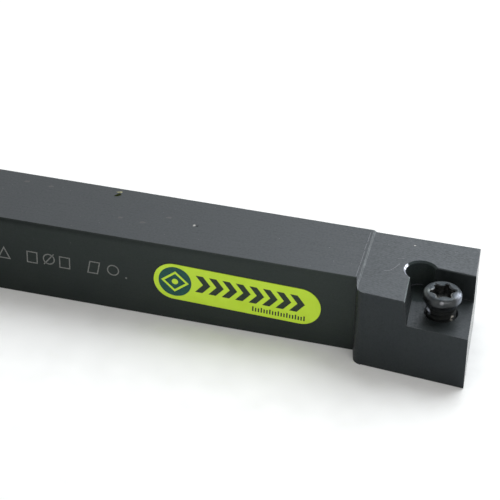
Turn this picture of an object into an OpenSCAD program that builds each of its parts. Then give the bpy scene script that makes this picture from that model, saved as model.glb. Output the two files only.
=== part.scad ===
// Left-hand turning tool holder: a square shank whose head carries the seat of an 80 degree
// rhombic insert and the screw that clamps it. Millimetres.
// +X runs along the shank to the cutting end, -Y is the cutting side, +Z is up.
// The origin is on the base, on the shank's centre line, under the line where the head starts.

/* [Shank] */
// Width of the shank
shank_w = 12; // [10:0.5:14]
// Height of the shank, which is also the height of the cutting edge
shank_h = 12; // [10:0.5:16]
// Length of the tool, from its tail to the cutting tip
tool_len = 80; // [60:1:150]
// Chamfer along the outer edges
edge_break = 0.1; // [0.05:0.05:0.3]

/* [Head] */
// Length of the head, from the line where it starts to the cutting tip
head_len = 16.6; // [15:0.1:22]
// Width from the back of the shank to the cutting tip
tip_offset = 16.4; // [15:0.1:19]
// Angle by which the end face leans past square
lead_angle = 5; // [2:0.5:8]
// Depth milled off the top of the head
head_drop = 0.25; // [0.1:0.05:0.5]
// Distance from the root of the step to the ramp, along the front of the shank
ramp_start = 0.3; // [0:0.05:0.5]
// Length of the ramp down from the shank to the top of the head
ramp_len = 0.25; // [0.15:0.05:1.2]
// Angle by which the ramp leans off square to the shank
ramp_lean = 2.6; // [0:0.1:4]
// Length from the root of the step, at the front of the shank, to the cutting tip
step_len = 16.75; // [15:0.05:22]
// Slant of the face where the head steps out from the shank
step_slant = 14; // [5:1:35]
// Radius of the outer corner of that step
step_round = 1.4; // [0.2:0.1:2]
// How far the insert's leading edge stands out from the end face
end_clear = 0.8; // [0.3:0.1:1.2]
// How far the insert's trailing edge stands out from the front face
front_clear = 0.27; // [0.15:0.01:0.6]

/* [Insert seat] */
// Inscribed circle of the insert that the seat takes
insert_ic = 9.525; // [8.5:0.025:10]
// Thickness of the insert
insert_t = 3.97; // [3:0.01:4.5]
// Corner angle of the insert
insert_angle = 80; // [76:1:82]
// Nose radius of the insert
nose_r = 0.8; // [0.2:0.2:1.2]
// Clearance angle of the insert's flanks, at which the seat's walls lean
flank_angle = 7; // [0:1:11]
// Radius of the relief drilled at the inner corner of the seat
relief_r = 2.1; // [1.8:0.05:2.4]
// Chamfer around the mouth of the relief
relief_chamfer = 0.25; // [0.1:0.05:0.4]
// Distance of the relief's axis from that corner
relief_inset = 2.1; // [1.6:0.05:2.3]
// Depth of the relief below the seat
relief_depth = 0.5; // [0.2:0.1:1.5]

/* [Clamp screw] */
// Outer diameter of the thread
thread_d = 4; // [3.5:0.1:4.4]
// Pitch of the thread
thread_pitch = 0.7; // [0.5:0.05:0.8]
// Length of the screw
screw_len = 9.3; // [8:0.1:10.5]
// Diameter of the head
head_d = 5.2; // [5:0.1:6]
// Height of the head's round rim
rim_h = 1.2; // [0.8:0.05:1.5]
// Radius along the top edge of the rim
rim_round = 0.6; // [0.1:0.05:0.7]
// Full angle of the cone under the head
cone_angle = 60; // [55:1:90]
// Size of the six-lobe recess across two opposite lobes
recess_d = 3.45; // [2.8:0.05:3.6]
// Size of the recess across two opposite ribs
recess_waist = 2.45; // [2:0.05:2.5]
// Angle at which the screw has come to rest
recess_turn = 17; // [0:1:60]
// Depth of the recess
recess_depth = 1.5; // [1:0.1:2]
// How far the head's top lies below the height of the cutting edge
head_sink = 0.4; // [0:0.05:0.6]
// Radial clearance between the thread and its hole
thread_clear = 0.05; // [0.02:0.01:0.1]
// Chamfer at the mouth of the threaded hole
mouth_chamfer = 0.25; // [0.1:0.05:0.4]
// Offset of the hole towards the inner corner, which pulls the insert against its walls
pull_in = 0.2; // [0:0.05:0.25]

/* [Label] */
// Length of the label
label_len = 23.6; // [15:0.1:30]
// Height of the label
label_h = 5.7; // [3:0.1:8]
// Thickness of the label
label_t = 0.08; // [0.05:0.01:0.2]
// Distance from the label to the head
label_gap = 4.8; // [2:0.1:15]
// Height of the label's middle above the base
label_z = 6.05; // [5.5:0.05:7]
// Angle by which the label's free end dips
label_tilt = 1.6; // [0:0.1:3]

/* [Hidden] */
$fn = 64;
over = 1;                               // how far a cut runs past the metal
overlap = 0.001;                        // shift of an arc so that it crosses the faces, per mm of radius
root_two = sqrt(2);
front_y = -shank_w / 2;
back_y = shank_w / 2;
tail_x = head_len - tool_len;
head_top = shank_h - head_drop;
seat_z = shank_h - insert_t;

// Directions along the end face and along the front face, both towards the cutting tip
trail_angle = 90 - insert_angle - lead_angle;
end_dir = [sin(lead_angle), -cos(lead_angle)];
front_dir = [cos(trail_angle), -sin(trail_angle)];
inward = -(end_dir + front_dir) / norm(end_dir + front_dir);

// The insert: where its edges would meet in a sharp corner, and the seat corner opposite
nose_centre = [head_len - nose_r, back_y - tip_offset + nose_r];
sharp_tip = nose_centre - inward * nose_r / sin(insert_angle / 2);
insert_side = insert_ic / sin(insert_angle);
seat_corner = sharp_tip - insert_side * (end_dir + front_dir);
hole_at = sharp_tip - insert_side / 2 * (end_dir + front_dir) + pull_in * inward;
relief_at = seat_corner - relief_inset * inward;
rim_corner = seat_corner - inward * head_drop * tan(flank_angle) / sin(insert_angle / 2);
reach = 2 * insert_side;                // long enough to cut from that corner past the metal

// Corners of the head, seen from above
tip_corner = sharp_tip - (end_clear * front_dir + front_clear * end_dir) / sin(insert_angle);
back_corner = tip_corner + end_dir * (back_y - tip_corner[1]) / end_dir[1];
step_root = [head_len - step_len, front_y];
ramp_front = step_root + [ramp_start, 0];
ramp_back = ramp_front + [-shank_w * tan(ramp_lean), shank_w];
ramp_foot = ramp_back + [ramp_len / cos(ramp_lean), 0];
step_dir = [sin(step_slant), -cos(step_slant)];
step_corner = meet(step_root, step_dir, tip_corner, front_dir);
step_arc_end = step_corner + front_dir * step_round * tan(acos(step_dir * front_dir) / 2);
outline = [
    [tail_x, back_y],
    [tail_x, front_y],
    step_root,
    step_corner,
    tip_corner,
    back_corner,
];

// The screw, measured from the top of its head
screw_top = shank_h - head_sink;
head_r = head_d / 2;
thread_r = thread_d / 2;
thread_depth = 0.61 * thread_pitch;
crest = thread_pitch / 8;               // width of the flat on each crest and in each root
neck_z = -rim_h - (head_r - thread_r) / tan(cone_angle / 2);
turns = floor((screw_len + neck_z) / thread_pitch);
hole_r = thread_r + thread_clear;
rib_r = 0.24 * recess_d;                // radius of the ribs between the recess's lobes

// Point where the line through p along u crosses the line through q along v
function meet(p, u, q, v) = p + u * cross(q - p, v) / cross(u, v);

function unit(v) = v / norm(v);

// Flat shape left outside an arc of radius r that rounds the corner between a and b
module corner_waste(a, corner, b, r) {
    u = unit(a - corner);
    v = unit(b - corner);
    half = acos(u * v) / 2;
    middle = corner + unit(u + v) * (r / sin(half) - overlap * r);
    to_a = corner + u * r / tan(half) - middle;
    to_b = corner + v * r / tan(half) - middle;
    difference() {
        polygon([middle, middle + 1.5 * to_a, middle + 2 * (corner - middle), middle + 1.5 * to_b]);
        translate(middle) circle(r);
    }
}

// Block that cuts a chamfer along the edge from a to b at height z, with the metal on its left.
// The lean is 45 degrees for a top edge and 135 for a bottom one.
module edge_cut(a, b, z, lean) {
    run = b - a;
    translate([a[0], a[1], z])
        rotate([0, 0, atan2(run[1], run[0])])
            rotate([lean, 0, 0])
                translate([0, -over, -edge_break / root_two])
                    cube([norm(run), 2 * over, over]);
}

// Top of the head, milled lower than the shank behind a short ramp
module head_top_cut() {
    translate([ramp_front[0], ramp_front[1], 0])
        rotate([90, 0, ramp_lean])
            translate([0, 0, -shank_w - over])
                linear_extrude(shank_w + tip_offset)
                    polygon([
                        [0, shank_h],
                        [ramp_len, head_top],
                        [head_len + over, head_top],
                        [head_len + over, shank_h + over],
                        [0, shank_h + over],
                    ]);
}

// Space on the insert's side of a wall that runs from the seat's corner at the given angle
module beside_wall(angle) {
    translate([seat_corner[0], seat_corner[1], shank_h])
        rotate([0, 0, angle])
            rotate([flank_angle, 0, 0])
                translate([-reach, 0, -reach])
                    cube([2 * reach, 2 * reach, 2 * reach]);
}

// Seat for the insert, open to the top, the end and the front
module seat_cut() {
    intersection() {
        beside_wall(lead_angle - 90);
        beside_wall(180 - trail_angle);
        translate([0, back_y - reach, seat_z])
            cube([reach, reach, insert_t + over]);
    }
    translate([relief_at[0], relief_at[1], seat_z - relief_depth])
        cylinder(h = insert_t + relief_depth + over, r = relief_r);
    translate([relief_at[0], relief_at[1], head_top - relief_chamfer])
        cylinder(h = 2 * relief_chamfer, r1 = relief_r, r2 = relief_r + 2 * relief_chamfer);
}

// Threaded hole through the head, cut to the thread's outer diameter
module screw_hole() {
    translate([hole_at[0], hole_at[1], -over])
        cylinder(h = seat_z + 2 * over, r = hole_r);
    translate([hole_at[0], hole_at[1], seat_z - mouth_chamfer])
        cylinder(h = 2 * mouth_chamfer, r1 = hole_r, r2 = hole_r + 2 * mouth_chamfer);
}

module edge_cuts() {
    shank = [ramp_foot, outline[0], outline[1], step_root];
    head = [step_arc_end, tip_corner, back_corner, ramp_foot + [edge_break, 0]];
    for (i = [0 : 2]) {
        edge_cut(shank[i], shank[i + 1], shank_h, 45);
        edge_cut(head[i], head[i + 1], head_top, 45);
    }
    base = [back_corner, outline[0], outline[1], step_root];
    for (i = [0 : 2])
        edge_cut(base[i], base[i + 1], 0, 135);
    edge_cut(step_arc_end, tip_corner, 0, 135);
    edge_cut(tip_corner, back_corner, 0, 135);
    edge_cut(rim_corner + reach * end_dir, rim_corner, head_top, 45);
    edge_cut(rim_corner, rim_corner + reach * front_dir, head_top, 45);
}

// Shank and head, milled from one bar
module holder_body() {
    color("#34383b") difference() {
        linear_extrude(shank_h)
            difference() {
                polygon(outline);
                corner_waste(step_root, step_corner, tip_corner, step_round);
            }
        head_top_cut();
        seat_cut();
        screw_hole();
        edge_cuts();
    }
}

// Half section of the screw: round rim, cone, then grooves at the thread's pitch
module screw_section() {
    groove_side = thread_pitch / 2 - crest;
    grooves = [
        for (i = [0 : turns - 1])
            let (z = neck_z - i * thread_pitch)
                each [
                    [thread_r, z],
                    [thread_r - thread_depth, z - groove_side],
                    [thread_r - thread_depth, z - groove_side - crest],
                    [thread_r, z - thread_pitch + crest],
                ],
    ];
    top = [0, 0];
    rim_top = [head_r, 0];
    rim_foot = [head_r, -rim_h];
    tip = [[thread_r - thread_depth, -screw_len], [0, -screw_len]];
    difference() {
        polygon(concat([top, rim_top, rim_foot], grooves, tip));
        corner_waste(top, rim_top, rim_foot, rim_round);
    }
}

// Six-lobe recess for the key, with a cone at its bottom
module recess() {
    waist = recess_waist / 2;
    drill_r = 0.8 * waist;
    drill_h = drill_r / 2;
    translate([0, 0, -recess_depth])
        rotate([0, 0, recess_turn])
            linear_extrude(recess_depth + over)
                difference() {
                    circle(recess_d / 2);
                    for (i = [0 : 5])
                        rotate(60 * i + 30) translate([waist + rib_r, 0]) circle(rib_r);
                }
    translate([0, 0, -recess_depth - drill_h])
        cylinder(h = 1.1 * drill_h, r1 = 0, r2 = 1.1 * drill_r);
}

module clamp_screw() {
    color("#4a4a48")
        translate([hole_at[0], hole_at[1], screw_top])
            difference() {
                rotate_extrude() screw_section();
                recess();
            }
}

// Thin label with round ends, stuck on the front of the shank
module label() {
    straight = label_len - label_h;
    color("#b5d827")
        translate([-label_gap - label_len / 2, front_y, label_z])
            rotate([90, label_tilt, 0])
                linear_extrude(label_t) {
                    square([straight, label_h], center = true);
                    for (side = [-1, 1])
                        translate([side * straight / 2, 0]) circle(label_h / 2);
                }
}

holder_body();
clamp_screw();
label();
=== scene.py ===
"""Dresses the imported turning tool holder: the black finish on milled steel, a clamp screw with its real
helical thread, the printed label, light etched marks, specks of dust, the floor, the lamps and the camera.

The frame is the part's own, in metres: +X to the cutting end, -Y the cutting side, +Z up.
Sizes below are in millimetres and are turned into metres where a mesh is made.
"""
import math
import random

import bmesh
import bpy
from mathutils import Matrix, Vector


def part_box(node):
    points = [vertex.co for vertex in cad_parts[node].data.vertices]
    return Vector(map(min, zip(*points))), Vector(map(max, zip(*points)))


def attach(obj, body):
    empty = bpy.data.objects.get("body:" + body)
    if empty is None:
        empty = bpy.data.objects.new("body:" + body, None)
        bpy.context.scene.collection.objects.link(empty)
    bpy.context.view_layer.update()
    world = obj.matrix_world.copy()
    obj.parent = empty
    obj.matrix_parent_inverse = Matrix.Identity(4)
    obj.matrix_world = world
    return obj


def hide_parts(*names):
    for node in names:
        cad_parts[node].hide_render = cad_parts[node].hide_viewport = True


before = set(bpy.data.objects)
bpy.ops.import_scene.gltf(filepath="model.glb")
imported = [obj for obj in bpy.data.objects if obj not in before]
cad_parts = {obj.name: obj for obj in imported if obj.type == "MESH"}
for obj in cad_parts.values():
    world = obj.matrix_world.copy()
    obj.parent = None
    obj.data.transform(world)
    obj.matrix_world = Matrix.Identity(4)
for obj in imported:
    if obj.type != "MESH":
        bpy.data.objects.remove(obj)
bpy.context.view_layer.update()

MM = 0.001


def cad_box(node):
    """Lowest and highest corner of a CAD node, in millimetres."""
    return [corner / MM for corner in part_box(node)]


# What the CAD part says
HOLDER_HIGH = cad_box("holder_body")[1]
SCREW_LOW, SCREW_HIGH = cad_box("clamp_screw")
LABEL_LOW, LABEL_HIGH = cad_box("label")
SHANK_TOP = HOLDER_HIGH.z
BACK_Y = HOLDER_HIGH.y
FRONT_Y = LABEL_HIGH.y                        # the label is stuck on the front of the shank
TIP_X = HOLDER_HIGH.x
SCREW_AXIS = Vector(((SCREW_LOW.x + SCREW_HIGH.x) / 2, (SCREW_LOW.y + SCREW_HIGH.y) / 2, 0))
HEAD_R = (SCREW_HIGH.x - SCREW_LOW.x) / 2
SCREW_LEN = SCREW_HIGH.z - SCREW_LOW.z

# Sizes that the boxes don't tell, as in the part's source
HEAD_DROP = 0.25                              # the head's top lies this far below the shank's
INSERT_T = 3.97
SEAT_Z = SHANK_TOP - INSERT_T
HEAD_TOP = SHANK_TOP - HEAD_DROP
RAMP_FRONT_X = 0.15                           # where the ramp down to the head starts, at the front
RAMP_LEAN = math.radians(2.6)
HOLE_R = 2.05
RELIEF_AT = Vector((7.69, -1.49, 0))
RELIEF_R = 2.1
RELIEF_CHAMFER = 0.25
THREAD_R = 2.0
THREAD_PITCH = 0.7
THREAD_DEPTH = 0.61 * THREAD_PITCH
RIM_H = 1.2
RIM_ROUND = 0.6
CONE_ANGLE = math.radians(60)
RECESS_R = 3.45 / 2
WAIST_R = 2.45 / 2
RIB_R = 0.24 * 2 * RECESS_R
RECESS_DEPTH = 1.5
RECESS_TURN = math.radians(17)
LABEL_TILT = math.radians(1.6)

# Thin things that lie on the faces
INK_T = 0.006                                 # thickness of printing ink, and of the etched marks
MARK_T = 0.004                                # thickness of a rubbed line
SUNK = 0.02                                   # how deep a grain of dust sits in its face
EDGE_GAP = 0.6                                # dust stays this far from the edges
SHANK_Y = (FRONT_Y + EDGE_GAP, BACK_Y - EDGE_GAP)
HEAD_X = (1, 13.5)                            # the dusty part of the head's top, behind the seat
HEAD_Y = (1.4, BACK_Y - EDGE_GAP)

# Camera: where it looks, how far off it is and how it is turned
AIM = Vector((-15.4, -3.86, 12.04)) * MM
DISTANCE = 262.4 * MM
TURN, TILT, ROLL = (math.radians(a) for a in (14.94, 33.77, 1.08))
LENS = 140.0
SENSOR = 36.0


def on_screw(angle, radius, below):
    """A point on the screw, at an angle in degrees, a radius and a depth below the top of its head."""
    turned = math.radians(angle)
    return SCREW_AXIS + Vector((radius * math.cos(turned), radius * math.sin(turned), SCREW_HIGH.z - below))


# ---------------------------------------------------------------- materials

class Finish:
    """A Principled material under construction, with places in millimetres in the piece's own frame."""

    def __init__(self, name, colour, roughness, level=0.5, metal=0.0):
        """Starts with plain values, which the set calls may replace by patterns."""
        self.material = bpy.data.materials.new(name)
        self.material.use_nodes = True
        self.tree = self.material.node_tree
        self.shader = self.tree.nodes["Principled BSDF"]
        self.set("Base Color", (*colour, 1))
        self.set("Roughness", roughness)
        self.set("Specular IOR Level", level)
        self.set("Metallic", metal)
        self.place = self.scaled(self.add("ShaderNodeTexCoord").outputs["Object"], (1 / MM,) * 3)

    def add(self, kind, **settings):
        """A new node of a kind, with its settings."""
        node = self.tree.nodes.new(kind)
        for key, value in settings.items():
            setattr(node, key, value)
        return node

    def feed(self, node, socket, value):
        """Links value to the socket if it is a node's output, and sets it there otherwise."""
        if isinstance(value, bpy.types.NodeSocket):
            self.tree.links.new(value, node.inputs[socket])
        else:
            node.inputs[socket].default_value = value

    def set(self, socket, value):
        """Gives the shader a constant or a pattern."""
        self.feed(self.shader, socket, value)

    def tint_sheen(self, colour):
        """Gives what the surface mirrors a tint."""
        self.set("Specular Tint", (*colour, 1))

    def math(self, operation, *values):
        """The result of arithmetic on one to three values."""
        node = self.add("ShaderNodeMath", operation=operation)
        for i, value in enumerate(values):
            self.feed(node, i, value)
        return node.outputs[0]

    def product(self, *values):
        """The product of two or more values."""
        result = values[0]
        for value in values[1:]:
            result = self.math("MULTIPLY", result, value)
        return result

    def vector(self, operation, a, b, output="Vector"):
        """The result of arithmetic on two vectors."""
        node = self.add("ShaderNodeVectorMath", operation=operation)
        self.feed(node, 0, a)
        self.feed(node, 1, b)
        return node.outputs[output]

    def scaled(self, vector, factors):
        """The vector with each axis times its own factor."""
        return self.vector("MULTIPLY", vector, factors)

    def noise(self, scale, detail=2.0, stretch=(1, 1, 1), distortion=0.0):
        """Noise from 0 to 1, with scale features to a millimetre."""
        node = self.add("ShaderNodeTexNoise")
        self.feed(node, "Vector", self.scaled(self.place, stretch))
        self.feed(node, "Scale", scale)
        self.feed(node, "Detail", detail)
        self.feed(node, "Distortion", distortion)
        return node.outputs["Fac"]

    def span(self, value, low, high, start=0.0, end=1.0):
        """Maps value from low..high to start..end and holds it there."""
        node = self.add("ShaderNodeMapRange")
        for socket, setting in zip(("Value", "From Min", "From Max", "To Min", "To Max"),
                                   (value, low, high, start, end)):
            self.feed(node, socket, setting)
        return node.outputs["Result"]

    def mix(self, share, a, b):
        """Colour a where share is 0, and b where it is 1."""
        node = self.add("ShaderNodeMix", data_type="RGBA")
        self.feed(node, "Factor", share)
        for socket, colour in ((6, a), (7, b)):
            self.feed(node, socket, colour if isinstance(colour, bpy.types.NodeSocket) else (*colour, 1))
        return node.outputs[2]

    def dots(self, spacing, radius, chance):
        """Small round dots, scattered about spacing apart; chance is the share of places that have one."""
        node = self.add("ShaderNodeTexVoronoi")
        self.feed(node, "Vector", self.place)
        self.feed(node, "Scale", 1 / spacing)
        size = self.span(node.outputs["Distance"], radius / spacing, 0.5 * radius / spacing)
        parts = self.add("ShaderNodeSeparateColor")
        self.feed(parts, "Color", node.outputs["Color"])
        return self.product(size, self.math("LESS_THAN", parts.outputs[0], chance))

    def axes(self, vector):
        """The three parts of a vector."""
        node = self.add("ShaderNodeSeparateXYZ")
        self.feed(node, 0, vector)
        return node.outputs

    def rounded(self, radius):
        """Normal that runs smoothly over edges within radius."""
        node = self.add("ShaderNodeBevel", samples=4)
        self.feed(node, "Radius", radius * MM)
        return node.outputs["Normal"]

    def edges(self, radius):
        """0 on open faces and up to 1 within radius of an edge."""
        true = self.add("ShaderNodeNewGeometry").outputs["True Normal"]
        same = self.vector("DOT_PRODUCT", self.rounded(radius), true, "Value")
        return self.span(same, 0.999, 0.93)

    def bump(self, height, depth, under=None):
        """Relief of depth millimetres where height goes from 0 to 1."""
        node = self.add("ShaderNodeBump")
        self.feed(node, "Height", height)
        self.feed(node, "Distance", depth * MM)
        if under is not None:
            self.feed(node, "Normal", under)
        return node.outputs["Normal"]


def black_steel(name, tone=1.0, roughness=0.46, level=0.35, grind=(1, 1, 1), arcs=None, dust=0.0, wear=0.35,
                sheen=(0.83, 0.90, 1.0), far_shade_and_top_strip=False):
    """Black oxide on machined steel: cloudy, finely grained, lighter where its edges are rubbed.

    grind stretches the machining marks, and arcs is the centre of a face mill's circular ones.
    Rubbed edges are found on flat faces only, so wear is 0 on round ones. With far_shade_and_top_strip a face
    has less sheen towards the far end of the shank, which is painted shade, and in a strip under its top
    edge."""
    f = Finish(name, (0.014, 0.015, 0.015), roughness, level)
    f.tint_sheen(sheen)
    if far_shade_and_top_strip:
        x, _, z = f.axes(f.place)
        # Less sheen in a strip under the top edge, more so towards the far end.
        strip = f.product(f.span(z, SHANK_TOP - 1.0, SHANK_TOP - 0.4), f.span(x, -50, -6, 0.50, 0.05))
        # Painted shade: less sheen towards the far end of the shank.
        dull = f.span(x, -52, -24, 0.72, 1.03)
        f.set("Specular IOR Level", f.product(f.math("SUBTRACT", 1, strip), dull, level))
    cloud = f.noise(0.28, 4)
    patch = f.noise(1.1, 3)
    grain = f.noise(9, 3)
    marks = f.noise(5, 3, grind)
    green, blue, pale, light = (tuple(part * tone for part in colour) for colour in (
        (0.0062, 0.0098, 0.0086), (0.0080, 0.0100, 0.0110), (0.0110, 0.0138, 0.0128), (0.026, 0.030, 0.028)))
    clouded = f.mix(f.span(cloud, 0.3, 0.75), f.mix(f.span(patch, 0.35, 0.65), green, blue), pale)
    fine = f.mix(f.span(grain, 0.55, 0.8, 0, 0.7), clouded, light)
    worn, under = fine, None
    if wear:
        rubbed = f.product(f.edges(0.07), f.span(f.noise(1.7, 4), 0.35, 0.7, 0.15, 1), wear)
        worn = f.mix(rubbed, fine, (0.16, 0.155, 0.15))
        under = f.rounded(0.05)
    speck = f.dots(1.35, 0.10, dust)
    f.set("Base Color", f.mix(f.product(speck, 0.6), worn, (0.14, 0.14, 0.145)))
    blots = f.noise(3.0, 2)
    spread = f.math("ADD", f.span(cloud, 0.3, 0.7, -0.035, 0.035), f.span(marks, 0.3, 0.7, -0.06, 0.06))
    spread = f.math("ADD", spread, f.span(blots, 0.3, 0.7, -0.11, 0.11))
    f.set("Roughness", f.math("ADD", spread, roughness))
    height = f.math("ADD", f.product(grain, 0.5), marks)
    if arcs is not None:
        feed = 0.42                               # distance from one of the mill's arcs to the next
        away = f.vector("DISTANCE", f.scaled(f.place, (1, 1, 0)), arcs, "Value")
        wobble = f.math("MULTIPLY_ADD", patch, 0.25, away)
        ripple = f.math("SINE", f.product(wobble, 2 * math.pi / feed))
        height = f.math("MULTIPLY_ADD", ripple, 0.35, height)
    f.set("Normal", f.bump(height, 0.0035, under))
    return f.material


def bright_edge():
    """Chamfers that were deburred after blackening: uncoated steel with smears of black left on it. It is put
    only where they face the light from the right, so it is partly a painted highlight.
    """
    f = Finish("bare_edge", (0.5, 0.52, 0.56), 0.3, 0.5, 0.9)
    smear = f.span(f.noise(1.4, 4), 0.38, 0.62)
    f.set("Base Color", f.mix(smear, (0.12, 0.125, 0.135), (0.62, 0.64, 0.70)))
    f.set("Roughness", f.span(f.noise(6, 2), 0.3, 0.7, 0.22, 0.38))
    f.set("Normal", f.bump(f.noise(10, 2), 0.002))
    return f.material


def tapped_wall():
    """The wall of the threaded hole: oiled black steel with the thread's turns as relief."""
    f = Finish("tapped_wall", (0.012, 0.012, 0.012), 0.35, 0.4)
    x, y, z = f.axes(f.vector("SUBTRACT", f.place, tuple(SCREW_AXIS)))
    turn = f.math("DIVIDE", f.math("ARCTAN2", y, x), 2 * math.pi)
    along = f.math("SUBTRACT", f.math("DIVIDE", z, THREAD_PITCH), turn)
    tooth = f.math("PINGPONG", along, 0.5)
    f.set("Base Color", f.mix(f.span(f.noise(2, 3), 0.3, 0.7), (0.008, 0.008, 0.008), (0.022, 0.021, 0.019)))
    f.set("Roughness", f.span(f.noise(4, 2), 0.3, 0.7, 0.28, 0.42))
    f.set("Normal", f.bump(tooth, 0.5 * THREAD_DEPTH))
    return f.material


def painted_highlights(f, surface, worn):
    """Adds painted highlights on the screw: broad ones on the right and the left of its rim, a small light
    spot on the front of the rim, and two small painted glints on its thread.
    """
    floor_below = SCREW_HIGH.z - SEAT_Z           # the seat's floor, measured down from the head's top
    # Painted highlights and glints: lighter colour where light falls on the rim and the thread.
    for place, size, colour in (
            (on_screw(-12, HEAD_R, 0.6), 1.2, (0.20, 0.21, 0.24)),
            (on_screw(-165, HEAD_R, 0.6), 1.3, (0.095, 0.105, 0.098)),
            (on_screw(-82, HEAD_R, 0.32), 0.36, (0.20, 0.20, 0.21)),
            (on_screw(-145, THREAD_R, floor_below - 0.86), 0.68, (0.80, 0.85, 0.98)),
            (on_screw(-31, THREAD_R, floor_below - 0.12), 0.44, (0.95, 0.90, 0.80))):
        bare_and_glint = f.span(f.vector("DISTANCE", f.place, tuple(place), "Value"), size, 0.4 * size)
        surface = f.mix(f.product(bare_and_glint, f.span(worn, 0, 1, 0.6, 1)), surface, colour)
    return surface


def screw_steel():
    """Heat-treated steel of the clamp screw: a dark satin head with a rubbed recess, a lip and spots that are
    partly painted highlights, and a dull shaft whose darkness is partly painted shade.
    """
    f = Finish("screw_steel", (0.05, 0.05, 0.052), 0.3, 0.5, 0.85)
    f.tint_sheen((0.86, 0.93, 1.0))
    _, y, z = f.axes(f.place)
    radius = f.vector("DISTANCE", f.scaled(f.place, (1, 1, 0)), tuple(SCREW_AXIS), "Value")
    below = f.math("SUBTRACT", SCREW_HIGH.z, z)
    on_head = f.span(below, RIM_H + 0.9, RIM_H + 0.2)
    on_side = f.span(radius, HEAD_R - 0.8 * RIM_ROUND, HEAD_R - 0.1 * RIM_ROUND)
    cloud = f.span(f.noise(1.3, 4), 0.35, 0.7)
    worn = f.span(f.noise(2.4, 3), 0.35, 0.65)
    top = f.mix(cloud, (0.014, 0.017, 0.019), (0.032, 0.034, 0.035))
    side = f.mix(cloud, (0.036, 0.039, 0.041), (0.056, 0.058, 0.058))
    # The shaft is darker and much less glossy than the head: partly its oiled finish, partly painted shade
    # under the head.
    shaft = f.mix(f.span(f.noise(2.2, 3), 0.3, 0.7), (0.008, 0.009, 0.009), (0.018, 0.019, 0.018))
    recess = f.mix(worn, (0.030, 0.032, 0.032), (0.13, 0.13, 0.125))
    within = f.span(radius, RECESS_R + 0.22, RECESS_R + 0.12)
    inside = f.product(within, f.span(below, 0.10, 0.16),
                       f.span(below, RECESS_DEPTH + 0.6, RECESS_DEPTH + 0.4))
    # The recess's lip is lighter on its front side only: wear from the driver, and a painted highlight where
    # that side faces the light.
    front = f.span(y, SCREW_AXIS.y + 0.5, SCREW_AXIS.y - 0.7)
    worn_and_lit_lip = f.product(within, f.span(below, 0.0, 0.03), f.span(below, 0.16, 0.10), front)
    surface = f.mix(inside, f.mix(on_head, shaft, f.mix(on_side, top, side)), recess)
    surface = f.mix(f.product(worn_and_lit_lip, f.span(worn, 0, 1, 0.25, 0.8)), surface, (0.34, 0.34, 0.33))
    f.set("Base Color", painted_highlights(f, surface, worn))
    f.set("Metallic", f.span(on_head, 0, 1, 0.0, 0.85))
    f.set("Specular IOR Level", f.span(on_head, 0, 1, 0.06, 0.5))
    satin = f.span(on_head, 0, 1, 0.55, 0.32)
    f.set("Roughness", f.math("ADD", f.span(f.noise(5, 3), 0.3, 0.7, -0.05, 0.05), satin))
    f.set("Normal", f.bump(f.noise(5, 4), 0.006))
    return f.material


def label_film():
    """Lime printed film, slightly glossy, with faint clouding and fine orange peel."""
    f = Finish("label_film", (0.43, 0.61, 0.038), 0.38, 0.35)
    f.set("Base Color", f.mix(f.span(f.noise(0.35, 4), 0.3, 0.7), (0.57, 0.81, 0.030), (0.62, 0.87, 0.044)))
    f.set("Roughness", f.span(f.noise(2.5, 3), 0.3, 0.7, 0.33, 0.43))
    f.set("Normal", f.bump(f.noise(3.5, 2), 0.002))
    f.set("Coat Weight", 0.15)
    f.set("Coat Roughness", 0.25)
    return f.material


def ink(name, dark, light):
    """Printing ink, a little uneven, that lets some of the film through."""
    f = Finish(name, dark, 0.4, 0.35)
    f.set("Base Color", f.mix(f.span(f.noise(5, 4), 0.35, 0.75), dark, light))
    f.set("Roughness", f.span(f.noise(6, 2), 0.3, 0.7, 0.36, 0.46))
    return f.material


def etched():
    """Etched steel where the black is gone: pale grey and uneven, like fine dots run together."""
    f = Finish("etched_mark", (0.13, 0.135, 0.13), 0.6, 0.3)
    f.set("Base Color", f.mix(f.span(f.noise(7, 3), 0.3, 0.65), (0.10, 0.105, 0.10), (0.22, 0.225, 0.215)))
    f.set("Roughness", f.span(f.noise(9, 2), 0.3, 0.7, 0.5, 0.7))
    f.set("Normal", f.bump(f.noise(12, 2), 0.004))
    return f.material


def fleck_material(name, dark, light, roughness, level=0.3):
    """Dust and chips: one tone that varies from grain to grain."""
    f = Finish(name, light, roughness, level)
    f.set("Base Color", f.mix(f.span(f.noise(8, 2), 0.3, 0.7), dark, light))
    f.set("Normal", f.bump(f.noise(14, 2), 0.005))
    return f.material


# ---------------------------------------------------------------- meshes

def piece(name, body, material, vertices, faces, smooth=False):
    """A mesh with places in millimetres that rides on a CAD body."""
    mesh = bpy.data.meshes.new(name)
    mesh.from_pydata([Vector(v) * MM for v in vertices], [], faces)
    made = bpy.data.objects.new(name, mesh)
    bpy.context.scene.collection.objects.link(made)
    tidy = bmesh.new()
    tidy.from_mesh(mesh)
    bmesh.ops.remove_doubles(tidy, verts=tidy.verts, dist=0.0005 * MM)
    bmesh.ops.recalc_face_normals(tidy, faces=tidy.faces)
    tidy.to_mesh(mesh)
    tidy.free()
    mesh.polygons.foreach_set("use_smooth", [smooth] * len(mesh.polygons))
    mesh.materials.append(material)
    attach(made, body)
    return made


def lobe_radius(angle):
    """Radius of the six-lobe recess in a direction, measured from the middle of a lobe."""
    from_rib = angle % (math.pi / 3) - math.pi / 6
    rib_at = WAIST_R + RIB_R
    across = rib_at * math.sin(from_rib)
    if abs(across) >= RIB_R:
        return RECESS_R
    rib = rib_at * math.cos(from_rib) - math.sqrt(RIB_R ** 2 - across ** 2)
    blend = 0.05                              # rounds the corners of the lobes
    return -blend * math.log(math.exp(-rib / blend) + math.exp(-RECESS_R / blend))


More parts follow.
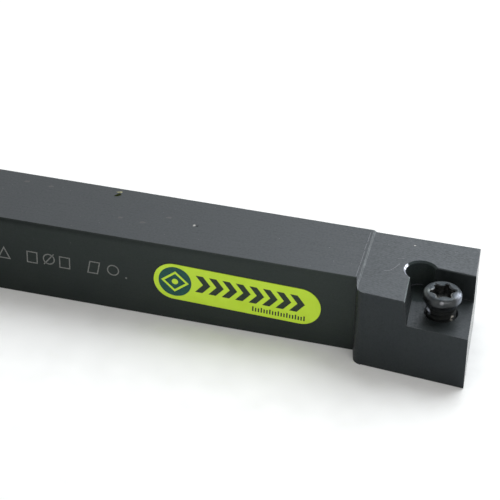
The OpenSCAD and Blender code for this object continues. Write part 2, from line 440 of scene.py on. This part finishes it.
def thread_radius(angle, depth, start, end):
    """Radius of the thread at a depth below the head's top, with sharp crests and narrow roots."""
    steep, crest = 1.45, 0.22                 # steepness of the flanks, and what the crests take of a turn
    turn = (-depth / THREAD_PITCH - angle / (2 * math.pi)) % 1
    tooth = min(max(abs(2 * turn - 1) * steep - crest, 0), 1)
    run_in = min(max((depth - start) / THREAD_PITCH, 0), 1)
    chamfer = max(0, THREAD_DEPTH - (end - depth))
    return THREAD_R - max(THREAD_DEPTH * tooth * run_in, chamfer)


def screw_rings():
    """Rings of the screw from the middle of its recess, out over the head and down to its tip.

    Each is a function of the angle that gives a radius and a depth below the head's top."""
    def even(radius, depth):
        """A round ring."""
        return lambda angle: (radius, depth)

    def lobed(share, depth, grown=0.0):
        """A ring in the recess's shape."""
        return lambda angle: (share * lobe_radius(angle - RECESS_TURN) + grown, depth)

    drill = 0.35                              # depth of the cone at the recess's bottom
    mouth, mouth_fall = 0.22, 0.12            # width and depth of the chamfer around the recess
    flat_r = HEAD_R - RIM_ROUND
    under_r, under = HEAD_R - 0.06, RIM_H + 0.03
    neck = RIM_H + (HEAD_R - THREAD_R) / math.tan(CONE_ANGLE / 2)
    rings = [even(0.02, RECESS_DEPTH + drill), even(0.75 * WAIST_R, RECESS_DEPTH), lobed(0.85, RECESS_DEPTH)]
    rings += [lobed(1, RECESS_DEPTH - step * (RECESS_DEPTH - mouth_fall) / 8) for step in range(9)]
    rings.append(lobed(1, 0, mouth))
    for step in range(1, 5):
        share = step / 4
        rings.append(lambda angle, share=share: (
            (1 - share) * (lobe_radius(angle - RECESS_TURN) + mouth) + share * flat_r, 0.0))
    for step in range(1, 13):
        bend = step / 12 * math.pi / 2
        rings.append(even(flat_r + RIM_ROUND * math.sin(bend), RIM_ROUND * (1 - math.cos(bend))))
    rings += [even(HEAD_R, RIM_ROUND + share * (RIM_H - RIM_ROUND - 0.06)) for share in (0.5, 1)]
    rings += [even(HEAD_R - 0.02, RIM_H - 0.02), even(under_r, under)]
    for step in range(1, 7):
        share = step / 6
        rings.append(even(under_r - share * (under_r - THREAD_R), under + share * (neck - under)))
    slices = 190
    for step in range(1, slices + 1):
        depth = neck + step / slices * (SCREW_LEN - neck)
        rings.append(lambda angle, depth=depth: (thread_radius(angle, depth, neck + 0.1, SCREW_LEN), depth))
    rings += [even(0.8 * THREAD_R - THREAD_DEPTH, SCREW_LEN), even(0.02, SCREW_LEN)]
    return rings


def make_clamp_screw():
    """The clamp screw: chamfered six-lobe recess, round rim, cone and a right-hand helical thread."""
    around = 144
    vertices, faces = [], []
    rings = screw_rings()
    for ring in rings:
        for i in range(around):
            angle = 2 * math.pi * i / around
            radius, depth = ring(angle)
            vertices.append((SCREW_AXIS.x + radius * math.cos(angle), SCREW_AXIS.y + radius * math.sin(angle),
                             SCREW_HIGH.z - depth))
    for row in range(len(rings) - 1):
        for i in range(around):
            a, b = row * around + i, row * around + (i + 1) % around
            faces.append((a, b, b + around, a + around))
    faces.append(tuple(range(around)))
    last = (len(rings) - 1) * around
    faces.append(tuple(range(last + around - 1, last - 1, -1)))
    screw = piece("clamp_screw_detail", "screw", screw_steel(), vertices, faces, smooth=True)
    screw.data.set_sharp_from_angle(angle=math.radians(35))
    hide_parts("clamp_screw")
    return screw


def plate(name, outlines, place, thickness, material, body="holder"):
    """Thin flat shapes on a face. Outlines are convex loops of points on the face; place maps them to 3-D."""
    vertices, faces = [], []
    for loop in outlines:
        first, count = len(vertices), len(loop)
        vertices += [place(u, v, 0) for u, v in loop] + [place(u, v, thickness) for u, v in loop]
        faces.append(tuple(first + i for i in range(count)))
        faces.append(tuple(first + count + i for i in reversed(range(count))))
        for i in range(count):
            j = (i + 1) % count
            faces.append((first + i, first + count + i, first + count + j, first + j))
    return piece(name, body, material, vertices, faces)


def line_quads(points, width, closed=False):
    """Quads along a line through points, mitred where it bends."""
    count = len(points)
    points = [Vector(p) for p in points]
    sides = []
    for i, p in enumerate(points):
        ahead = points[(i + 1) % count] - p if closed or i < count - 1 else p - points[i - 1]
        behind = p - points[i - 1] if closed or i > 0 else ahead
        a, b = ahead.normalized(), behind.normalized()
        along = (a + b).normalized()
        square = Vector((-along.y, along.x))
        half = width / 2 / max(along.dot(a), 0.3)
        sides.append((p + square * half, p - square * half))
    ends = sides[1:] + sides[:1] if closed else sides[1:]
    return [[start[0], end[0], end[1], start[1]] for start, end in zip(sides, ends)]


def arc(centre, radius, start, end, steps):
    """Points along an arc, with angles in degrees."""
    return [(centre[0] + radius * math.cos(math.radians(start + (end - start) * i / steps)),
             centre[1] + radius * math.sin(math.radians(start + (end - start) * i / steps)))
            for i in range(steps + 1)]


def on_front(u, v, out):
    """A point on the front of the shank: u along the tool, v up from its base, out from the face."""
    return (u, FRONT_Y - out, v)


def on_label(u, v, out):
    """A point on the label, from its middle: u along it and v across it."""
    middle = (LABEL_LOW + LABEL_HIGH) / 2
    along, up = math.cos(LABEL_TILT), math.sin(LABEL_TILT)
    return (middle.x + u * along + v * up, LABEL_LOW.y - out, middle.z - u * up + v * along)


def ring_quads(outer, inner):
    """Quads between two loops with the same number of points."""
    count = len(outer)
    return [[outer[i], outer[(i + 1) % count], inner[(i + 1) % count], inner[i]] for i in range(count)]


def moved(loops, du, dv=0.0):
    """The loops at another place."""
    return [[(p[0] + du, p[1] + dv) for p in loop] for loop in loops]


def label_disc():
    """A round sign for the label: a disc with the outline of an insert and its hole left open in it."""
    steps = 96
    angles = [2 * math.pi * i / steps for i in range(steps)]
    disc_r, hole_r = 2.35, 0.45
    middle = (-8.75, 0.05)

    def loop(radius):
        """A loop around the middle, from a function that gives its radius at an angle."""
        return [(radius(a) * math.cos(a), radius(a) * math.sin(a)) for a in angles]

    def rhombus(wide, tall):
        """A rhombus with its corners this far from the middle."""
        return loop(lambda a: (wide * tall) / (tall * abs(math.cos(a)) + wide * abs(math.sin(a))))

    disc = ring_quads(loop(lambda a: disc_r), rhombus(2.0, 1.68))
    insert = ring_quads(rhombus(1.5, 1.26), loop(lambda a: hole_r))
    return moved(disc + insert, *middle)


def label_print():
    """Generic print for the label: a row of bold feed chevrons over a fine scale."""
    arm, tall, thick, pitch, row = 1.1, 1.35, 1.05, 1.9, 0.35
    loops = []
    for i in range(8):
        left = -5.85 + i * pitch
        for side in (1, -1):
            loops.append([(left, side * tall + row), (left + thick, side * tall + row),
                          (left + thick + arm, row), (left + arm, row)])
    tick, gap, low = 0.2, 0.4, -2.3
    for i in range(19):
        at = 2.3 + i * gap
        high = low + (0.62 if i % 3 else 0.78)
        loops.append([(at, low), (at + tick, low), (at + tick, high), (at, high)])
    return loops


def etched_marks():
    """Generic workshop symbols in thin strokes, in the row along the shank: shapes, a bore sign and a dot."""
    wide, tall = 0.17, 2.05
    row = 5.35                                # height of the row's foot above the base
    middle = tall / 2
    square = [(0, 0), (1.45, 0), (1.45, tall - 0.3), (0, tall - 0.3)]
    ring = arc((0, middle), 0.8, 0, 360, 28)[:-1]
    triangle = [(0, 0), (1.7, 0), (0.85, tall - 0.3)]
    rhombus = [(0, 0), (1.4, 0), (1.75, tall - 0.2), (0.35, tall - 0.2)]
    slash = [(-0.75, middle - 0.95), (0.75, middle + 0.95)]
    dot = arc((0, 0.1), 0.06, 0, 360, 10)[:-1]
    signs = [
        (-51.2, [(triangle, True)]),
        (-46.9, [(square, True)]),
        (-43.7, [(ring, True), (slash, False)]),
        (-42.1, [(square, True)]),
        (-38.0, [(rhombus, True)]),
        (-34.3, [(ring, True)]),
        (-32.4, [(dot, True)]),
    ]
    loops = []
    for at, strokes in signs:
        for points, closed in strokes:
            loops += moved(line_quads(points, wide, closed), at, row)
    return loops


def on_top(level):
    """Places points of the plan on an upward face at a level."""
    return lambda u, v, out: (u, v, level + out)


def ramp_lines():
    """A light line on the shank's top beside the ramp, in short broken strokes."""
    lean = math.tan(RAMP_LEAN)
    loops = []
    for start, end, aside in ((-5.7, -3.1, -0.42), (-2.9, 0.4, -0.38), (0.7, 2.5, -0.42), (2.7, 5.2, -0.36)):
        points = [(RAMP_FRONT_X - (y - FRONT_Y) * lean + aside, y) for y in (start, end)]
        loops += line_quads(points, 0.12)
    return loops


def head_scratches():
    """Fine light scratches on the head's top, in front of the seat's relief."""
    curved = [(2.9, -3.0), (3.2, -2.92), (3.5, -2.78), (3.89, -2.41), (4.15, -1.9), (4.35, -1.4),
              (4.64, -0.8)]
    short = [(4.1, 0.35), (4.95, 0.6)]
    return line_quads(curved, 0.19) + line_quads(short, 0.10)


def on_relief(u, v, out):
    """A point on the relief's wall: u around it in degrees, v up from the seat, out from just behind it."""
    behind = 0.01
    r, turned = RELIEF_R + behind - out, math.radians(u)
    return (RELIEF_AT.x + r * math.cos(turned), RELIEF_AT.y + r * math.sin(turned), SEAT_Z + v)


def relief_mark():
    """A painted highlight: a light line round the foot of the relief's far wall, where its lower rim catches
    the light.
    """
    return line_quads([(88 + 6 * i, 0) for i in range(10)], 0.14)


def fleck(at, size, lean, rng, stretch, rise):
    """An irregular flat grain on an upward face: a loop of points and a low peak, rise of its size high."""
    count = 7
    loop = []
    for i in range(count):
        angle = 2 * math.pi * i / count
        r = size * rng.uniform(0.65, 1.1)
        x, y = r * stretch * math.cos(angle), r * math.sin(angle)
        loop.append((at[0] + x * math.cos(lean) - y * math.sin(lean),
                     at[1] + x * math.sin(lean) + y * math.cos(lean), at[2]))
    peak = (at[0] + 0.2 * size, at[1], at[2] + rise * size)
    foot = (at[0], at[1], at[2] - 0.01)
    return loop + [peak, foot], count


def make_flecks(name, places, material, seed, rise=0.35):
    """Grains of dust or chips that lie on the tool: each place is a point, a size, a lean and a stretch."""
    rng = random.Random(seed)
    vertices, faces = [], []
    for at, size, lean, stretch in places:
        grain, count = fleck(at, size, lean, rng, stretch, rise)
        first = len(vertices)
        vertices += grain
        for i in range(count):
            j = (i + 1) % count
            faces.append((first + i, first + j, first + count))
            faces.append((first + j, first + i, first + count + 1))
    return piece(name, "holder", material, vertices, faces)


def scattered(rng, count, x_span, y_span, level, sizes, longest):
    """Random grains on an upward face, each with a place, a size, a lean and a stretch."""
    grains = []
    for _ in range(count):
        at = (rng.uniform(*x_span), rng.uniform(*y_span), level - SUNK)
        grains.append((at, rng.uniform(*sizes), rng.uniform(0, math.pi), rng.uniform(1, longest)))
    return grains


def make_specks(rng):
    """Pale specks on the tops of the shank and the head, two of them larger."""
    specks = scattered(rng, 34, (-58, -2), SHANK_Y, SHANK_TOP, (0.03, 0.065), 1.8)
    specks += scattered(rng, 9, HEAD_X, HEAD_Y, HEAD_TOP, (0.03, 0.06), 1.6)
    specks.append(((5.69, 4.14, HEAD_TOP - SUNK), 0.20, 0.4, 1.2))
    specks.append(((-24.4, -0.15, SHANK_TOP - SUNK), 0.25, 1.3, 1.5))
    make_flecks("dust", specks, fleck_material("dust", (0.30, 0.30, 0.29), (0.62, 0.61, 0.58), 0.8), seed=5)


def make_smears(rng):
    """Grey smears on the tops, and five flat smudges on the shank."""
    smears = scattered(rng, 60, (-58, -1), SHANK_Y, SHANK_TOP, (0.06, 0.13), 2.2)
    smears += scattered(rng, 14, HEAD_X, HEAD_Y, HEAD_TOP, (0.06, 0.12), 2.0)
    grey = fleck_material("smear", (0.05, 0.051, 0.053), (0.17, 0.172, 0.175), 0.5)
    make_flecks("smears", smears, grey, seed=7)
    smudges = [((x, y, SHANK_TOP), 0.30, 0.1, 1.6)
               for x, y in ((-34.8, -1.25), (-31.4, -1.5), (-28.3, 0.7), (-50.4, 3.9), (-46.6, 3.65))]
    dull = fleck_material("smudge", (0.03, 0.031, 0.032), (0.08, 0.082, 0.084), 0.46)
    make_flecks("smudges", smudges, dull, seed=6, rise=0.03)


def make_chip():
    """A small olive chip on the shank's top with its painted shadow, a dark flat grain in front of it, and a
    dark grain beside the larger speck.
    """
    chip = [((-36.95, 4.98, SHANK_TOP - SUNK), 0.30, 0.3, 2.2)]
    olive = fleck_material("chip", (0.15, 0.15, 0.07), (0.36, 0.35, 0.20), 0.4)
    make_flecks("chip", chip, olive, seed=8)
    # A painted shadow: a dark flat grain in front of the chip, where its shadow falls.
    side = [((-36.95, 4.18, SHANK_TOP - SUNK), 0.40, 0.9, 2.0)]
    shade = fleck_material("chip_painted_shadow", (0.010, 0.014, 0.004), (0.030, 0.036, 0.010), 0.9, level=0.0)
    make_flecks("chip_painted_shadow", side, shade, seed=8)
    grain = [((-23.95, -0.22, SHANK_TOP - SUNK), 0.22, 1.3, 1.3)]
    black = fleck_material("grit", (0.002, 0.002, 0.002), (0.006, 0.006, 0.006), 0.9)
    make_flecks("grit", grain, black, seed=9)


# ---------------------------------------------------------------- the holder's own faces

def holder_finishes():
    """The finishes of the holder's faces, by name."""
    lengthwise, crosswise, upright = (0.04, 1, 1), (1, 0.1, 1), (1, 1, 0.08)
    milling = {"grind": (0.3, 1, 1), "arcs": (-6, -30, 0)}
    return {
        # The shank's top and its other faces are one ground steel: the top has more sheen and a bluer tint,
        # the others less sheen and a greener tint, as painted light and shade.
        "ground": black_steel("black_ground", tone=0.85, level=0.52, grind=lengthwise, dust=0.12),
        "flank": black_steel("black_flank", tone=0.80, level=0.46, grind=lengthwise, dust=0.10,
                             sheen=(0.82, 0.96, 0.90), far_shade_and_top_strip=True),
        "milled": black_steel("black_milled", tone=0.9, level=0.54, dust=0.10, **milling),
        # The seat's floor has far less sheen than the head's top: painted shade from the seat's walls.
        "seat": black_steel("black_seat", tone=0.9, roughness=0.48, level=0.33, dust=0.06, **milling),
        # The seat's back wall is darker than the other sides: painted shade inside the seat.
        "wall": black_steel("black_wall", tone=0.7, level=0.36, grind=upright, dust=0.03),
        "relief": black_steel("black_relief", tone=2.2, roughness=0.6, level=0.22, grind=upright, wear=0),
        "side": black_steel("black_side", tone=0.95, level=0.44, grind=upright, dust=0.12),
        "round": black_steel("black_round", tone=0.95, level=0.44, grind=upright, wear=0),
        "end": black_steel("black_end", roughness=0.16, level=0.5, grind=crosswise, wear=0.2),
        # The chamfers at the ramp: worn edges, and twice the tone, which is painted light.
        "rubbed": black_steel("black_rubbed", tone=2.0, roughness=0.48, level=0.42, wear=1.0),
        # The seat's left rim at six times the tone: a painted highlight where it faces the light from the
        # right.
        "rim": black_steel("black_rim", tone=6.0, roughness=0.50, level=0.4, wear=0, sheen=(0.80, 0.90, 1.0)),
        # Bright uncoated steel, and a dimmer bluish one beside it: painted highlights on the chamfers that
        # face the light from the right.
        "bare_and_glint": bright_edge(),
        "dim_glint": fleck_material("dim_glint_steel", (0.15, 0.16, 0.20), (0.40, 0.42, 0.50), 0.45),
        "tapped": tapped_wall(),
    }


def finish_of(centre, normal, smooth):
    """Which finish a face of the holder has, from its middle in millimetres, where it faces
    and whether its CAD shading is smooth."""
    from_relief = (centre.xy - RELIEF_AT.xy).length
    from_hole = (centre.xy - SCREW_AXIS.xy).length
    high = centre.z > SEAT_Z + 1
    slanted = 0.3 < normal.z < 0.95
    chamfer = slanted and high
    upward = normal.z > 0.95
    relief_mouth = chamfer and centre.x > 3 and from_relief < RELIEF_R + RELIEF_CHAMFER + 0.05
    seat_edge = chamfer and 5 < centre.x < TIP_X - 4 and normal.x > 0.3
    hole_mouth = slanted and not high and from_hole < HOLE_R + 0.4
    at_step = centre.x < 2 and centre.y < FRONT_Y - 1
    if from_hole < HOLE_R + 0.02 and abs(normal.z) < 0.3:
        return "tapped"
    # On the relief's and the hole's chamfers only the parts that face the light from the right are bright:
    # painted highlights.
    if relief_mouth and normal.x > 0.25 and normal.y > 0.1:
        return "dim_glint"
    if relief_mouth:
        return "bare_and_glint" if normal.x > 0.62 else "relief"
    # The seat's left rim gets a painted highlight.
    if seat_edge:
        return "rim"
    if hole_mouth:
        return "bare_and_glint" if normal.x > 0.55 else "round"
    # The ramp's chamfers: worn edges and painted light.
    if chamfer and abs(centre.x) < 1.2:
        return "rubbed"
    if from_relief < RELIEF_R + 0.02 and SEAT_Z - 1 < centre.z < HEAD_TOP - 0.1:
        return "relief"
    if smooth and (at_step or from_relief < RELIEF_R + 0.5 or from_hole < HOLE_R + 0.5):
        return "round"
    # The seat's back wall gets painted shade.
    if high and normal.y < -0.8 and centre.x > RELIEF_AT.x and centre.y > RELIEF_AT.y:
        return "wall"
    if centre.x < 0 or normal.z < -0.5 or normal.y > 0.95:
        return "ground" if upward else "flank"
    if upward:
        return "milled" if high else "seat"
    if normal.x > 0.95 and centre.x > TIP_X - 3:
        return "end"
    return "side"


def dress_holder():
    """Gives each face of the holder's CAD node its finish. The mesh itself stays as it is."""
    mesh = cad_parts["holder_body"].data
    finishes = holder_finishes()
    names = list(finishes)
    mesh.materials.clear()
    for name in names:
        mesh.materials.append(finishes[name])
    for face in mesh.polygons:
        face.material_index = names.index(finish_of(face.center / MM, face.normal, face.use_smooth))


def dress_label():
    """Gives the label's CAD node its film."""
    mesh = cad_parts["label"].data
    mesh.materials.clear()
    mesh.materials.append(label_film())


# ---------------------------------------------------------------- stage

def place_camera():
    """A long lens that looks down on the cutting end from the front."""
    data = bpy.data.cameras.new("camera")
    data.lens, data.sensor_width = LENS, SENSOR
    data.clip_start, data.clip_end = 0.01, 10.0
    camera = bpy.data.objects.new("camera", data)
    bpy.context.scene.collection.objects.link(camera)
    turned = Matrix.Rotation(TURN, 3, "Z") @ Matrix.Rotation(math.pi / 2 - TILT, 3, "X")
    turned = turned @ Matrix.Rotation(ROLL, 3, "Z")
    camera.matrix_world = Matrix.Translation(AIM + turned @ Vector((0, 0, DISTANCE))) @ turned.to_4x4()
    bpy.context.scene.camera = camera


def area_light(name, place, target, size, power, colour=(1, 1, 1)):
    """A square lamp at place that shines at target."""
    data = bpy.data.lights.new(name, "AREA")
    data.size, data.energy, data.color = size, power, colour
    lamp = bpy.data.objects.new(name, data)
    bpy.context.scene.collection.objects.link(lamp)
    lamp.location = place
    lamp.rotation_euler = (Vector(target) - Vector(place)).to_track_quat("-Z", "Y").to_euler()
    return lamp


def make_world():
    """A dim room for soft light, seen as white by the camera and in what is glossy."""
    world = bpy.data.worlds.new("studio")
    bpy.context.scene.world = world
    world.use_nodes = True
    nodes, links = world.node_tree.nodes, world.node_tree.links
    nodes.clear()
    out = nodes.new("ShaderNodeOutputWorld")
    mix = nodes.new("ShaderNodeMixShader")
    ambient = nodes.new("ShaderNodeBackground")
    shown = nodes.new("ShaderNodeBackground")
    ambient.inputs["Color"].default_value = (1, 0.99, 0.96, 1)
    shown.inputs["Color"].default_value = (1, 1, 1, 1)
    ambient.inputs["Strength"].default_value = 0.36
    shown.inputs["Strength"].default_value = 1.0
    path = nodes.new("ShaderNodeLightPath")
    share = path.outputs["Is Camera Ray"]
    for kind in ("Is Glossy Ray", "Is Transmission Ray"):
        either = nodes.new("ShaderNodeMath")
        either.operation = "MAXIMUM"
        links.new(share, either.inputs[0])
        links.new(path.outputs[kind], either.inputs[1])
        share = either.outputs[0]
    links.new(share, mix.inputs["Fac"])
    links.new(ambient.outputs[0], mix.inputs[1])
    links.new(shown.outputs[0], mix.inputs[2])
    links.new(mix.outputs[0], out.inputs["Surface"])


def light_scene():
    """Soft studio light: a large lamp above and behind on the right, a weaker one in front, and a low one
    behind on the right that draws the bright edges."""
    area_light("key", place=(0.12, 0.30, 0.43), target=(0, 0, 0), size=0.46, power=2.95,
               colour=(0.93, 0.97, 1))
    area_light("fill", place=(0.22, -0.30, 0.20), target=(0, 0, 0), size=0.30, power=0.45)
    window = area_light("window", place=(0.33, 0.36, 0.09), target=(0, 0, 0.01), size=0.28, power=1.25,
                        colour=(0.93, 0.96, 1))
    window.visible_diffuse = False
    make_world()


def make_floor():
    """A plain pale sheet with faint clouds. For the camera it glows a little, which is painted light, less
    near the foot of the tool so that the shadow there stays dark, and it is white far off."""
    half = 3.0
    corners = [(-half, -half, 0), (half, -half, 0), (half, half, 0), (-half, half, 0)]
    mesh = bpy.data.meshes.new("floor")
    mesh.from_pydata(corners, [], [(0, 1, 2, 3)])
    floor = bpy.data.objects.new("floor", mesh)
    bpy.context.scene.collection.objects.link(floor)
    f = Finish("floor", (0.90, 0.90, 0.895), 0.85, 0.1)
    clouds = f.span(f.noise(0.3, 4), 0.3, 0.7)
    f.set("Base Color", f.mix(clouds, (0.868, 0.868, 0.863), (0.932, 0.932, 0.927)))
    f.set("Roughness", f.span(f.noise(0.05, 2), 0.3, 0.7, 0.8, 0.9))
    # Painted light: the floor glows for the camera, less where the tool is close, so the shadow at its foot
    # stays dark.
    near = f.add("ShaderNodeAmbientOcclusion", samples=8)
    f.feed(near, "Distance", 6 * MM)
    painted_floor_light = f.span(near.outputs["AO"], 0.55, 1.0, 0.060, 0.122)
    far = f.span(f.vector("LENGTH", f.place, (0, 0, 0), "Value"), 150, 500, 0.0, 1.0)
    seen = f.add("ShaderNodeLightPath").outputs["Is Camera Ray"]
    f.set("Emission Color", (1, 1, 0.985, 1))
    f.set("Emission Strength", f.math("MULTIPLY", f.math("ADD", painted_floor_light, far), seen))
    mesh.materials.append(f.material)


# ---------------------------------------------------------------- the scene

bpy.context.scene.view_settings.view_transform = "Standard"
place_camera()
light_scene()
make_floor()
dress_holder()
dress_label()
make_clamp_screw()
black_ink = ink("black_ink", (0.010, 0.022, 0.014), (0.026, 0.045, 0.024))
plate("label_print", label_print(), on_label, INK_T, black_ink)
teal_ink = ink("teal_ink", (0.004, 0.060, 0.052), (0.012, 0.10, 0.075))
plate("label_disc", label_disc(), on_label, INK_T, teal_ink)
plate("etched_marks", etched_marks(), on_front, INK_T, etched())
# Light lines: scratches on the head's top, light lines beside the ramp, and a painted highlight round the
# foot of the relief.
rubbed = fleck_material("scratch_and_highlight", (0.025, 0.027, 0.030), (0.13, 0.14, 0.16), 0.4)
plate("ramp_lines", ramp_lines(), on_top(SHANK_TOP), MARK_T, rubbed)
plate("head_scratches", head_scratches(), on_top(HEAD_TOP), MARK_T, rubbed)
# A painted highlight round the foot of the relief.
plate("relief_mark", relief_mark(), on_relief, 0.03, rubbed)
random_places = random.Random(12)
make_specks(random_places)
make_smears(random_places)
make_chip()
